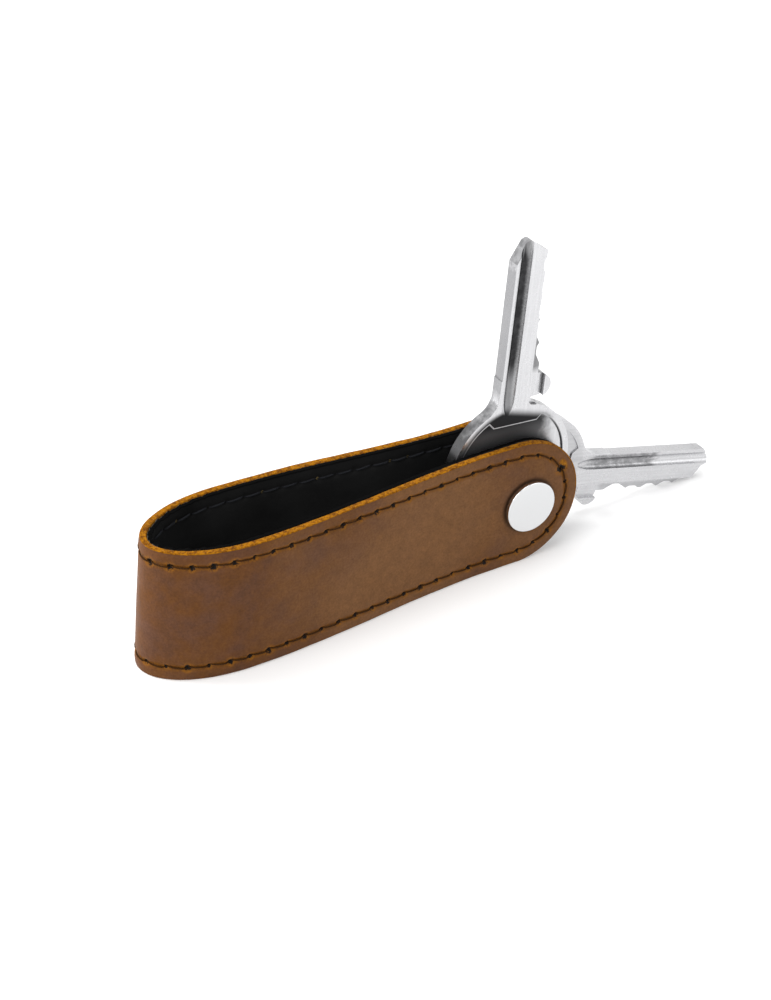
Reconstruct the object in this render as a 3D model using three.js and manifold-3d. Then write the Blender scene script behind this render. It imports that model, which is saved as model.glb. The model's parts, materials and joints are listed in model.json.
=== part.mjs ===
// Leather key organiser, standing on its long edge. A lined leather strap is folded into a loop, and a
// two-piece screw post through its round ends carries two keys that swivel in and out of the loop.
// Millimetres, +Z up. X runs from the fold to the post, and Y from the front strap to the back strap.
// The origin is at the fold: on the lower cut edge, in the middle of the leather's thickness.

import * as THREE from "three";
import { mergeVertices } from "three/addons/utils/BufferGeometryUtils.js";
import Module from "manifold-3d";

const wasm = await Module();
wasm.setup();

// Strap
const STRAP_WIDTH = 22.5;
const LEATHER_THICKNESS = 1.3;
const LINING_THICKNESS = 0.7;
const LINING_SETBACK = 0.25; // from the leather's cut edge to the lining's
const CEMENT_GAP = 0.05;
const LOOP_LENGTH = 67; // fold to post axis, at mid leather on the lower edge
const LOOP_HALF_DEPTH = 8; // mid plane to mid leather, at the widest
const FOLD_RUN = 15.2; // length of the rounded fold
const FOLD_LEAN = 1.9; // of the fold's upper edge, back towards the post
const CLAMP_RUN = 6; // flat stretch beside the post
const END_RUN = 9.5; // post axis to the strap's end
const POST_HEIGHT = 10.65; // lower cut edge to post axis

// Seam
const SEAM_INSET = 2.3; // cut edge to seam
const STITCH_PITCH = 3.2;
const NEEDLE_THREAD_DIAMETER = 0.45;
const NEEDLE_STITCH_RISE = 0.15; // of a stitch's middle above its ends
const BOBBIN_THREAD_DIAMETER = 0.4;
const BOBBIN_STITCH_RISE = 0.06;
const THREAD_GAP = 0.05; // thread to strap

// Screw post and washers
const HEAD_RADIUS = 4.5;
const HEAD_THICKNESS = 0.8;
const HEAD_CHAMFER = 0.2;
const HEAD_SEAT_GAP = 0.05; // head to leather
const BARREL_RADIUS = 2.5;
const BARREL_SHORTFALL = 0.6; // barrel end to the back strap's face, so that the screw draws up tight
const BARREL_HOLE_CLEARANCE = 0.1;
const SHANK_RADIUS = 1.9;
const SHANK_LENGTH = 6.5;
const SHANK_CHAMFER = 0.4;
const SHANK_CLEARANCE = 0.08;
const BORE_RUNOUT = 0.8; // bore depth past the shank's tip
const SLOT_WIDTH = 1.1;
const SLOT_DEPTH = 0.45;
const WASHER_RADIUS = 6.5;
const WASHER_THICKNESS = 0.6;
const WASHER_BORE_CLEARANCE = 0.1;
const RUNNING_GAP = 0.08; // between neighbours in the stack on the post

// Keys, both cut from one blank. Along the blade is u, towards the spine is v, from the bow's centre.
const KEY_THICKNESS = 2.2;
const BOW_RADIUS = 11.3;
const BOW_RIM = 1.2; // width of the rim round the sunk panel
const PANEL_DEPTH = 0.25;
const PANEL_FLAT = 2.35; // from the rim's round in to the panel's flat side
const PANEL_STEP = 1; // from the flat side out to the panel's corners
const KEY_HOLE_RADIUS = 4.3;
const TAIL_WALL = 1.8; // of the bow, behind the hole
const HANG_CLEARANCE = 0.1; // post to hole, on the side where the key hangs
const HOLE_DROP = 4.9; // blade's spine to the hole's centre
const SPINE_HEIGHT = 3.55; // bow centre line to the blade's spine
const NECK_RISE = 0.15; // of the neck above the milled spine
const NECK_REACH = 16.2; // bow centre to the start of the milled spine
const NECK_FILLET = 4;
const BLADE_HEIGHT = 7.2; // spine to the uncut edge
const BLADE_REACH = 39.4; // bow centre to tip
const RELIEF_FILLET = 1;
const RELIEF_DEPTH = 0.8; // of the notch between bow and stop, from the uncut edge
const STOP_GAP = 0.15; // from that notch's fillet to the stop
const STOP_LENGTH = 4.1;
const STOP_HEIGHT = 2.3; // beyond the uncut edge
const STOP_TO_CUT = 6.15; // stop's middle to the first cut
const CUT_PITCH = 3.8;
const CUT_FLAT = 1.3;
const CUT_FLANK = THREE.MathUtils.degToRad(28); // slope of a cut's sides
const TIP_LOW_DROP = 3.3; // spine to the end of the bevel under the tip
const TIP_NOSE_DROP = 1.7; // spine to the end of the slant above the tip
const TIP_ROUND = 0.4; // depth of the tip's rounding
const GROOVE_DROP = 0.65; // spine to the warding groove
const GROOVE_WIDTH = 2.1;
const GROOVE_DEPTH = 0.8;
const GROOVE_REACH = 9.4; // bow centre to the grooves' starts
const GROOVE_POINT = 4; // length over which a groove runs in to its full depth
const BACK_GROOVE_DROP = 3.4;
const BACK_GROOVE_WIDTH = 1.5;
const BACK_GROOVE_DEPTH = 0.7;
const LEDGE_DROP = 5.5; // spine to the thinner ledge along the cuts
const LEDGE_WIDTH = 2.7; // to the stop's full-thickness end
const LEDGE_DEPTH = 0.7;
const LEDGE_REACH = 10.6; // bow centre to the ledge's start

const UPRIGHT_KEY = {
  angle: THREE.MathUtils.degToRad(85.4),
  hang: THREE.MathUtils.degToRad(-130), // from the hole's centre to the post
  cutDepths: [0.9, 1.5, 1.8, 1.8, 2.05],
  noseReach: 3.4, // tip back to where the spine turns down
  heelReach: 2.8, // tip back to where the uncut edge is bevelled off
  bevelReach: 0.4, // tip back to the end of that bevel
};
const LOWER_KEY = {
  hang: THREE.MathUtils.degToRad(-12),
  cutDepths: [1, 0.4, 0.6, 0.85, 1.45],
  noseReach: 2.2,
  heelReach: 4,
  bevelReach: 1.7,
};
const TABLE_GAP = 0.1; // lower key to the table

// Sizes of the facets
const FOLD_STEPS = 16;
const FOLD_GRADE = 1.3; // how strongly the fold's facets close up towards its tight middle
const TAPER_STEPS = 12;
const ROUND_STEPS = 40;
const CURVE_STEPS = 20;
const THREAD_SIDES = 6;
const GROOVE_STEPS = 24;
const POINT_STEPS = 4;
const OVERCUT = 1; // how far a cutter runs past the faces that it cuts

// The stack on the post, outwards from the mid plane
const KEY_FACE = WASHER_THICKNESS / 2 + RUNNING_GAP;
const SIDE_WASHER = KEY_FACE + KEY_THICKNESS + RUNNING_GAP;
const LINING_FACE = SIDE_WASHER + WASHER_THICKNESS + RUNNING_GAP;
const LEATHER_BACK = LINING_FACE + LINING_THICKNESS + CEMENT_GAP;
const CLAMP_HALF_DEPTH = LEATHER_BACK + LEATHER_THICKNESS / 2;
const LEATHER_FACE = LEATHER_BACK + LEATHER_THICKNESS;

const leather = new THREE.MeshStandardMaterial({ color: "#7d5232", roughness: 0.55 });
const lining = new THREE.MeshStandardMaterial({ color: "#141313", roughness: 0.5 });
const brownThread = new THREE.MeshStandardMaterial({ color: "#33241a", roughness: 0.8 });
const blackThread = new THREE.MeshStandardMaterial({ color: "#0c0c0c", roughness: 0.8 });
const nickel = new THREE.MeshStandardMaterial({ color: "#d9dadb", roughness: 0.15, metalness: 1 });
const keyNickel = new THREE.MeshStandardMaterial({ color: "#c9cacb", roughness: 0.22, metalness: 1 });
const nylon = new THREE.MeshStandardMaterial({ color: "#1b1b1c", roughness: 0.6 });

// A closed solid from a geometry, with its shared corners merged.
function solid(geometry) {
  const bare = geometry.index ? geometry.toNonIndexed() : geometry.clone();
  bare.deleteAttribute("normal");
  bare.deleteAttribute("uv");
  const merged = mergeVertices(bare, 1e-5);
  return new wasm.Manifold(new wasm.Mesh({
    numProp: 3,
    vertProperties: new Float32Array(merged.attributes.position.array),
    triVerts: new Uint32Array(merged.index.array),
  }));
}

// A named mesh from a solid.
function piece(name, body, material) {
  const { vertProperties, triVerts } = body.getMesh();
  const geometry = new THREE.BufferGeometry();
  geometry.setAttribute("position", new THREE.BufferAttribute(vertProperties, 3));
  geometry.setIndex(new THREE.BufferAttribute(triVerts, 1));
  geometry.computeVertexNormals();
  const mesh = new THREE.Mesh(geometry, material);
  mesh.name = name;
  return mesh;
}

function extrude(shape, depth) {
  return new THREE.ExtrudeGeometry(shape, { depth, bevelEnabled: false, curveSegments: CURVE_STEPS });
}

// The strap's plan at mid leather, from the fold to the strap's end: a quarter ellipse round the fold,
// a cosine taper that closes the loop, and a flat stretch under the post.
class Taper extends THREE.Curve {
  getPoint(t) {
    const opened = (1 + Math.cos(Math.PI * t)) / 2;
    const run = LOOP_LENGTH - CLAMP_RUN - FOLD_RUN;
    const y = THREE.MathUtils.lerp(CLAMP_HALF_DEPTH, LOOP_HALF_DEPTH, opened);
    return new THREE.Vector2(FOLD_RUN + run * t, y);
  }
}

const fold = new THREE.EllipseCurve(FOLD_RUN, 0, FOLD_RUN, LOOP_HALF_DEPTH, Math.PI, Math.PI / 2, true);
const taper = new Taper();
const clampStretch = new THREE.LineCurve(
  new THREE.Vector2(LOOP_LENGTH - CLAMP_RUN, CLAMP_HALF_DEPTH),
  new THREE.Vector2(LOOP_LENGTH + END_RUN, CLAMP_HALF_DEPTH),
);
const halfPlan = new THREE.CurvePath();
[fold, taper, clampStretch].forEach((stretch) => halfPlan.add(stretch));
const HALF_LENGTH = halfPlan.getLength();

// The point of the bent strap that lies s from the fold along mid leather, negative towards the front end,
// and depth outwards from mid leather, with the strap's outward normal there.
function bend(s, depth) {
  const t = Math.min(Math.abs(s) / HALF_LENGTH, 1);
  const side = s < 0 ? -1 : 1;
  const point = halfPlan.getPoint(t);
  const along = halfPlan.getTangent(t);
  const normal = new THREE.Vector3(-along.y, side * along.x, 0);
  const at = new THREE.Vector3(point.x, side * point.y, 0).addScaledVector(normal, depth);
  return { at, normal };
}

// Leans a point of the upright strap: the fold's upper edge lies back towards the post.
function lean(point) {
  const nearness = Math.max(0, 1 - point.x / LOOP_LENGTH);
  point.x += (FOLD_LEAN * nearness * point.z) / STRAP_WIDTH;
  return point;
}

// Stations along half the strap, where its facets meet: close together round the fold's tight middle.
function stations() {
  const foldLength = fold.getLength();
  const taperLength = taper.getLength();
  const half = [];
  for (let i = 1; i <= FOLD_STEPS; i += 1) {
    half.push(foldLength * (i / FOLD_STEPS) ** FOLD_GRADE);
  }
  for (let i = 1; i <= TAPER_STEPS; i += 1) {
    half.push(foldLength + (taperLength * i) / TAPER_STEPS);
  }
  half.push(HALF_LENGTH);
  return [...half.map((s) => -s).reverse(), 0, ...half];
}

// The side view of a strap's ends: a band with one round end, set back all round by inset.
function roundEndMask(inset) {
  const middle = STRAP_WIDTH / 2;
  const radius = middle - inset;
  const centre = LOOP_LENGTH + END_RUN - middle;
  const start = -LEATHER_THICKNESS - OVERCUT;
  const outline = new THREE.Shape();
  outline.moveTo(start, inset);
  outline.lineTo(centre, inset);
  outline.absarc(centre, middle, radius, -Math.PI / 2, Math.PI / 2, false);
  outline.lineTo(start, STRAP_WIDTH - inset);
  const reach = LOOP_HALF_DEPTH + LEATHER_THICKNESS + OVERCUT;
  return solid(extrude(outline, 2 * reach).rotateX(Math.PI / 2).translate(0, reach, 0));
}

// A strip bent along the strap's plan between two depths from mid leather, with round ends and post holes.
function bentStrip(innerDepth, outerDepth, inset) {
  const line = stations();
  const outside = line.map((s) => bend(s, outerDepth).at);
  const inside = line.map((s) => bend(s, innerDepth).at).reverse();
  const plan = new THREE.Shape([...outside, ...inside].map((p) => new THREE.Vector2(p.x, p.y)));
  const radius = BARREL_RADIUS + BARREL_HOLE_CLEARANCE;
  const length = 2 * (LEATHER_FACE + OVERCUT);
  const hole = new THREE.CylinderGeometry(radius, radius, length, ROUND_STEPS);
  hole.translate(LOOP_LENGTH, 0, POST_HEIGHT);
  const strip = extrude(plan, STRAP_WIDTH);
  const corners = strip.attributes.position;
  const corner = new THREE.Vector3();
  for (let i = 0; i < corners.count; i += 1) {
    const { x, y, z } = lean(corner.fromBufferAttribute(corners, i));
    corners.setXYZ(i, x, y, z);
  }
  return solid(strip).intersect(roundEndMask(inset)).subtract(solid(hole));
}

// The seam's course on the flat strip: along both edges and round both ends, as distance s and height w.
function seamCourse() {
  const middle = STRAP_WIDTH / 2;
  const end = HALF_LENGTH - middle;
  const radius = middle - SEAM_INSET;
  const course = new THREE.Path();
  course.moveTo(-end, SEAM_INSET);
  course.lineTo(end, SEAM_INSET);
  course.absarc(end, middle, radius, -Math.PI / 2, Math.PI / 2, false);
  course.lineTo(-end, STRAP_WIDTH - SEAM_INSET);
  course.absarc(-end, middle, radius, Math.PI / 2, (3 * Math.PI) / 2, false);
  return course;
}

// One thread of the seam, as a closed tube that lies on a face of the strap and humps up at each stitch.
// The face is at depth from mid leather, and side is 1 on the leather and -1 on the lining.
function seamThread(depth, side, diameter, rise) {
  const course = seamCourse();
  const rings = 2 * Math.round(course.getLength() / STITCH_PITCH);
  const radius = diameter / 2;
  const centres = [];
  const normals = [];
  for (let i = 0; i < rings; i += 1) {
    const flat = course.getPoint(i / rings);
    const hump = i % 2 === 0 ? 0 : rise;
    const { at, normal } = bend(flat.x, depth + side * (THREAD_GAP + radius + hump));
    centres.push(lean(at.setZ(flat.y)));
    normals.push(normal.multiplyScalar(side));
  }
  const corners = [];
  for (let i = 0; i < rings; i += 1) {
    const along = centres[(i + 1) % rings].clone().sub(centres[(i + rings - 1) % rings]).normalize();
    const across = new THREE.Vector3().crossVectors(along, normals[i]).normalize();
    const up = new THREE.Vector3().crossVectors(across, along);
    for (let j = 0; j < THREAD_SIDES; j += 1) {
      const turn = (2 * Math.PI * j) / THREAD_SIDES;
      const corner = centres[i].clone();
      corner.addScaledVector(across, radius * Math.cos(turn));
      corner.addScaledVector(up, radius * Math.sin(turn));
      corners.push(corner);
    }
  }
  const faces = [];
  for (let i = 0; i < rings; i += 1) {
    const near = i * THREAD_SIDES;
    const far = ((i + 1) % rings) * THREAD_SIDES;
    for (let j = 0; j < THREAD_SIDES; j += 1) {
      const next = (j + 1) % THREAD_SIDES;
      faces.push(near + j, far + next, near + next, near + j, far + j, far + next);
    }
  }
  const tube = new THREE.BufferGeometry().setFromPoints(corners);
  tube.setIndex(faces);
  return solid(tube);
}

// A turned piece from its profile of [radius, distance along the post from the front], ends on the axis.
function turned(profile) {
  const points = profile.map(([radius, along]) => new THREE.Vector2(radius, along));
  return solid(new THREE.LatheGeometry(points, ROUND_STEPS));
}

// The post's pieces are turned about the post's axis, with 0 at the mid plane between the straps.
const HEAD_SEAT = LEATHER_FACE + HEAD_SEAT_GAP;
const HEAD_FACE = HEAD_SEAT + HEAD_THICKNESS;
const BARREL_END = LEATHER_FACE - BARREL_SHORTFALL;
const SHANK_END = HEAD_SEAT - SHANK_LENGTH;

function postBarrel() {
  const bore = SHANK_RADIUS + SHANK_CLEARANCE;
  return turned([
    [0, -HEAD_FACE],
    [HEAD_RADIUS - HEAD_CHAMFER, -HEAD_FACE],
    [HEAD_RADIUS, -HEAD_FACE + HEAD_CHAMFER],
    [HEAD_RADIUS, -HEAD_SEAT],
    [BARREL_RADIUS, -HEAD_SEAT],
    [BARREL_RADIUS, BARREL_END],
    [bore, BARREL_END],
    [bore, SHANK_END - BORE_RUNOUT],
    [0, SHANK_END - BORE_RUNOUT],
  ]);
}

function postScrew() {
  const screw = turned([
    [0, SHANK_END],
    [SHANK_RADIUS - SHANK_CHAMFER, SHANK_END],
    [SHANK_RADIUS, SHANK_END + SHANK_CHAMFER],
    [SHANK_RADIUS, HEAD_SEAT],
    [HEAD_RADIUS, HEAD_SEAT],
    [HEAD_RADIUS, HEAD_FACE - HEAD_CHAMFER],
    [HEAD_RADIUS - HEAD_CHAMFER, HEAD_FACE],
    [0, HEAD_FACE],
  ]);
  const slot = new THREE.BoxGeometry(2 * (HEAD_RADIUS + OVERCUT), 2 * SLOT_DEPTH, SLOT_WIDTH);
  return screw.subtract(solid(slot.translate(0, HEAD_FACE, 0)));
}

function washer(middle) {
  const bore = BARREL_RADIUS + WASHER_BORE_CLEARANCE;
  const front = middle - WASHER_THICKNESS / 2;
  const back = middle + WASHER_THICKNESS / 2;
  return turned([[bore, front], [WASHER_RADIUS, front], [WASHER_RADIUS, back], [bore, back], [bore, front]]);
}

// The cut edge, from the stop to the tip's bevel: a flat at each cut's depth, with flanks that rise to the
// uncut edge or meet in a ridge. A cut that would end beyond the bevel is not made.
function cutEdge(depths, edge, firstCut, heel, bevel) {
  const flank = Math.tan(CUT_FLANK);
  const flatEnd = (i) => firstCut + i * CUT_PITCH + CUT_FLAT / 2;
  const made = depths.filter((depth, i) => (flatEnd(i) - heel) * bevel < depth);
  const points = [];
  made.forEach((depth, i) => {
    const end = flatEnd(i);
    const start = end - CUT_FLAT;
    const down = start - depth / flank;
    const overlap = i > 0 ? points.at(-1).x - down : 0;
    if (overlap > 0) {
      points.pop();
      points.push(new THREE.Vector2(down + overlap / 2, edge + (overlap / 2) * flank));
    } else {
      points.push(new THREE.Vector2(down, edge));
    }
    points.push(new THREE.Vector2(start, edge + depth), new THREE.Vector2(end, edge + depth));
    points.push(new THREE.Vector2(end + depth / flank, edge));
  });
  const last = points.pop();
  const past = last.x - heel;
  if (past < 0) {
    points.push(last, new THREE.Vector2(heel, edge));
  } else {
    const run = (past * flank) / (flank + bevel);
    points.push(new THREE.Vector2(heel + run, edge + run * bevel));
  }
  return points;
}

// The key's outline: bow, relief notch, stop, cuts, tip, spine and neck.
function keyOutline({ cutDepths, noseReach, heelReach, bevelReach }) {
  const edge = SPINE_HEIGHT - BLADE_HEIGHT;
  const floor = edge + RELIEF_DEPTH;
  const neckHeight = SPINE_HEIGHT + NECK_RISE;
  const neckV = neckHeight + NECK_FILLET;
  const neckU = Math.sqrt((BOW_RADIUS + NECK_FILLET) ** 2 - neckV ** 2);
  const neckTurn = Math.atan2(neckV, neckU);
  const reliefV = floor - RELIEF_FILLET;
  const reliefU = Math.sqrt((BOW_RADIUS + RELIEF_FILLET) ** 2 - reliefV ** 2);
  const reliefTurn = Math.atan2(reliefV, reliefU);
  const stop = reliefU + STOP_GAP + STOP_LENGTH / 2;
  const tipLow = SPINE_HEIGHT - TIP_LOW_DROP;
  const tipNose = SPINE_HEIGHT - TIP_NOSE_DROP;
  const heel = BLADE_REACH - heelReach;
  const bevel = (tipLow - edge) / (heelReach - bevelReach);
  const outline = new THREE.Shape();
  outline.moveTo(neckU, neckHeight);
  outline.absarc(neckU, neckV, NECK_FILLET, -Math.PI / 2, neckTurn - Math.PI, true);
  outline.absarc(0, 0, BOW_RADIUS, neckTurn, Math.PI, false);
  outline.absarc(0, 0, BOW_RADIUS, Math.PI, 2 * Math.PI + reliefTurn, false);
  outline.absarc(reliefU, reliefV, RELIEF_FILLET, reliefTurn + Math.PI, Math.PI / 2, true);
  outline.lineTo(stop - STOP_LENGTH / 2, floor);
  outline.lineTo(stop - STOP_LENGTH / 2, edge);
  outline.absellipse(stop, edge, STOP_LENGTH / 2, STOP_HEIGHT, Math.PI, 2 * Math.PI, false);
  cutEdge(cutDepths, edge, stop + STOP_TO_CUT, heel, bevel).forEach(({ x, y }) => outline.lineTo(x, y));
  outline.lineTo(BLADE_REACH - bevelReach, tipLow);
  outline.quadraticCurveTo(BLADE_REACH + TIP_ROUND, (tipLow + tipNose) / 2, BLADE_REACH - TIP_ROUND, tipNose);
  outline.lineTo(BLADE_REACH - noseReach, SPINE_HEIGHT);
  outline.lineTo(NECK_REACH, SPINE_HEIGHT);
  outline.lineTo(NECK_REACH - NECK_RISE, neckHeight);
  const hole = new THREE.Path();
  const centre = holeCentre();
  hole.absarc(centre.x, centre.y, KEY_HOLE_RADIUS, 0, 2 * Math.PI, true);
  outline.holes.push(hole);
  return outline;
}

// The hole lies near the bow's tail, below the spine's line.
function holeCentre() {
  return new THREE.Vector2(KEY_HOLE_RADIUS + TAIL_WALL - BOW_RADIUS, SPINE_HEIGHT - HOLE_DROP);
}

// What a round cutter takes out along the blade, from a point near the bow out past the tip: a groove of
// that width and depth with its upper side at drop below the spine. Side is 1 for the front, -1 for the back.
function groove(drop, width, depth, side) {
  const radius = (width ** 2 / 4 + depth ** 2) / (2 * depth);
  const end = BLADE_REACH + OVERCUT;
  const profile = [new THREE.Vector2(0, GROOVE_REACH)];
  for (let i = 1; i <= POINT_STEPS; i += 1) {
    const turn = (Math.PI * i) / (2 * POINT_STEPS);
    profile.push(new THREE.Vector2(radius * Math.sin(turn), GROOVE_REACH + GROOVE_POINT * (1 - Math.cos(turn))));
  }
  profile.push(new THREE.Vector2(radius, end), new THREE.Vector2(0, end));
  const cutter = new THREE.LatheGeometry(profile, GROOVE_STEPS).rotateZ(-Math.PI / 2);
  const lift = KEY_THICKNESS / 2 + radius - depth;
  return solid(cutter.translate(0, SPINE_HEIGHT - drop - width / 2, side * lift));
}

// The milled ledge along the cuts, from a round start out past the tip.
function ledge() {
  const top = SPINE_HEIGHT - LEDGE_DROP;
  const bottom = top - LEDGE_WIDTH;
  const radius = LEDGE_WIDTH / 2;
  const course = new THREE.Shape();
  course.moveTo(BLADE_REACH + OVERCUT, top);
  course.lineTo(LEDGE_REACH + radius, top);
  course.absarc(LEDGE_REACH + radius, top - radius, radius, Math.PI / 2, (3 * Math.PI) / 2, false);
  course.lineTo(BLADE_REACH + OVERCUT, bottom);
  return course;
}

// The bow's sunk panel: a disc inside the rim with a flat side towards the blade, stepped at its corners.
function panel() {
  const radius = BOW_RADIUS - BOW_RIM;
  const chord = radius - PANEL_FLAT;
  const half = Math.acos((chord + PANEL_STEP) / radius);
  const side = radius * Math.sin(half) - PANEL_STEP;
  const outline = new THREE.Shape();
  outline.absarc(0, 0, radius, half, 2 * Math.PI - half, false);
  outline.lineTo(chord, -side);
  outline.lineTo(chord, side);
  return outline;
}

// The key blank, flat, with its front face upwards, its middle at 0 and its bow's centre on the axis.
function cutKey(form) {
  const half = KEY_THICKNESS / 2;
  const sink = (shape, depth) => solid(extrude(shape, depth + OVERCUT).translate(0, 0, half - depth));
  const backPanel = extrude(panel(), PANEL_DEPTH + OVERCUT).translate(0, 0, -half - OVERCUT);
  return solid(extrude(keyOutline(form), KEY_THICKNESS).translate(0, 0, -half))
    .subtract(sink(panel(), PANEL_DEPTH))
    .subtract(solid(backPanel))
    .subtract(sink(ledge(), LEDGE_DEPTH))
    .subtract(groove(GROOVE_DROP, GROOVE_WIDTH, GROOVE_DEPTH, 1))
    .subtract(groove(BACK_GROOVE_DROP, BACK_GROOVE_WIDTH, BACK_GROOVE_DEPTH, -1));
}

// The post's place in the key, from the bow's centre: the key hangs with its hole's edge on the barrel.
function pivot(hang) {
  const offset = KEY_HOLE_RADIUS - BARREL_RADIUS - HANG_CLEARANCE;
  return holeCentre().add(new THREE.Vector2(offset * Math.cos(hang), offset * Math.sin(hang)));
}

// The turn that lays a key on the table: that of the first of its outline's points to come down to it.
function restingAngle(form) {
  const post = pivot(form.hang);
  const drop = POST_HEIGHT - TABLE_GAP;
  const arms = keyOutline(form).getPoints(CURVE_STEPS).map((point) => point.sub(post));
  const reaching = arms.filter((arm) => arm.length() > drop);
  return Math.max(...reaching.map((arm) => -Math.asin(drop / arm.length()) - Math.atan2(arm.y, arm.x)));
}

// A key on the post, turned by angle from the screw end towards the top, with its middle at depth from
// the mid plane, positive towards the front.
function key(name, form, angle, depth) {
  const post = pivot(form.hang);
  const mesh = piece(name, cutKey(form).translate([-post.x, -post.y, 0]), keyNickel);
  mesh.rotation.z = angle;
  mesh.position.z = depth;
  return mesh;
}

const organiser = new THREE.Group();
const leatherHalf = LEATHER_THICKNESS / 2;
const liningBack = -leatherHalf - CEMENT_GAP;
const liningFace = liningBack - LINING_THICKNESS;
organiser.add(piece("outer_strap", bentStrip(-leatherHalf, leatherHalf, 0), leather));
organiser.add(piece("lining_strap", bentStrip(liningFace, liningBack, LINING_SETBACK), lining));
const needle = seamThread(leatherHalf, 1, NEEDLE_THREAD_DIAMETER, NEEDLE_STITCH_RISE);
const bobbin = seamThread(liningFace, -1, BOBBIN_THREAD_DIAMETER, BOBBIN_STITCH_RISE);
organiser.add(piece("needle_thread", needle, brownThread));
organiser.add(piece("bobbin_thread", bobbin, blackThread));

const post = new THREE.Group();
post.position.set(LOOP_LENGTH, 0, POST_HEIGHT);
post.add(piece("post_barrel", postBarrel(), nickel));
post.add(piece("post_screw", postScrew(), nickel));
const sideWasher = SIDE_WASHER + WASHER_THICKNESS / 2;
post.add(piece("washer_front", washer(-sideWasher), nylon));
post.add(piece("washer_middle", washer(0), nylon));
post.add(piece("washer_back", washer(sideWasher), nylon));
organiser.add(post);

// The keys lie flat in a group that stands them up to face the front.
const keys = new THREE.Group();
keys.position.copy(post.position);
keys.rotation.x = Math.PI / 2;
const keyMiddle = KEY_FACE + KEY_THICKNESS / 2;
keys.add(key("key_upright", UPRIGHT_KEY, UPRIGHT_KEY.angle, keyMiddle));
keys.add(key("key_lower", LOWER_KEY, restingAngle(LOWER_KEY), -keyMiddle));
organiser.add(keys);

export default organiser;
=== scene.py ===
"""Looks of a leather key organiser: a lined, sewn strap folded into a loop round two keys on a screw post.

Sizes are in metres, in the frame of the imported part: X from the fold to the post, Y from the front strap
to the back strap, Z up. The strap's surfaces are worked out on the flat strip, as it was cut and sewn, and
then bent round the fold. On the flat strip s runs along it from the fold, w across it from its lower edge.
"""

import functools
import json
import math

import bmesh
import bpy
import numpy as np
from mathutils import Matrix, Vector


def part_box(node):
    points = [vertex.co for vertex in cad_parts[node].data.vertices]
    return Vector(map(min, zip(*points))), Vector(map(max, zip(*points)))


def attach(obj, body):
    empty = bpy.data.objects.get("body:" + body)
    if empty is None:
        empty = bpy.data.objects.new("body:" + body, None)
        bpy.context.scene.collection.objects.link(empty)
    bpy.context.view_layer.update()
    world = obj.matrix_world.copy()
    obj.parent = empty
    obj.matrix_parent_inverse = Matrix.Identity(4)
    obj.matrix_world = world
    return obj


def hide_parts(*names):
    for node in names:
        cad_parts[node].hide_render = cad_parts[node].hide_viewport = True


bl_info = {
    "name": "Leather key organiser",
    "version": (1, 0, 0),
    "blender": (4, 5, 0),
    "location": "3D View > Sidebar > Organiser",
    "description": "Dresses the strap, seam, screw post and keys of a key organiser",
    "category": "Object",
}

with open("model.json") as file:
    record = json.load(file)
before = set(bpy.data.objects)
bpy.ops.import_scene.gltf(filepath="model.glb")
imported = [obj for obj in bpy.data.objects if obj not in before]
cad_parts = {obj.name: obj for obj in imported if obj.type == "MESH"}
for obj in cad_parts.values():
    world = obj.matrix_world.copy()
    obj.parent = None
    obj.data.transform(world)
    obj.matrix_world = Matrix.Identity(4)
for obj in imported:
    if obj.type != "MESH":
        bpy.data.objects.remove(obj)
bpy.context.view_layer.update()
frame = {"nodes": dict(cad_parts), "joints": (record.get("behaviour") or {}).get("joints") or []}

MM = 0.001
WHITE = (1, 1, 1, 1)

# The setting that stands for a node's mode, and the span that holds most of a noise's values
MODES = {"Math": "operation", "VectorMath": "operation", "MapRange": "interpolation_type", "Mix": "data_type"}
NOISE = (0.3, 0.7)

# Edges that turn by more than this stay sharp, on the cut pieces and on the turned ones
CUT_EDGE = math.radians(28)
TURNED_EDGE = math.radians(50)

# The strap's place and main sizes, from the frame
STRAP_LOW, STRAP_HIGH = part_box("outer_strap")
LINING_LOW, LINING_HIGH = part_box("lining_strap")
STRAP_WIDTH = STRAP_HIGH.z - STRAP_LOW.z
LEATHER = -2 * STRAP_LOW.x
LOOP_HALF_DEPTH = STRAP_HIGH.y - LEATHER / 2
LINING_SETBACK = LINING_LOW.z - STRAP_LOW.z
CEMENT_GAP = STRAP_HIGH.y - LEATHER - LINING_HIGH.y

# The post's axis, from the joints, and the stack on it
POST_X, _, POST_Z = frame["joints"][0]["pos_m"]
BARREL_LOW, BARREL_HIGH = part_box("post_barrel")
SCREW_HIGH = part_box("post_screw")[1]
HEAD_RADIUS = BARREL_HIGH.x - POST_X


def length_prop(name, description, size):
    """A setting for a length, from its millimetres."""
    return bpy.props.FloatProperty(name=name, description=description, default=size * MM, unit="LENGTH")


def angle_prop(name, description, degrees):
    """A setting for an angle, from its degrees."""
    turn = math.radians(degrees)
    return bpy.props.FloatProperty(name=name, description=description, default=turn, subtype="ANGLE")


def count_prop(name, description, number):
    """A setting for a whole number."""
    return bpy.props.IntProperty(name=name, description=description, default=number)


def colour_prop(name, description, text):
    """A setting for a colour, as sRGB hex."""
    return bpy.props.StringProperty(name=name, description=description + ", sRGB hex", default=text)


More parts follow.
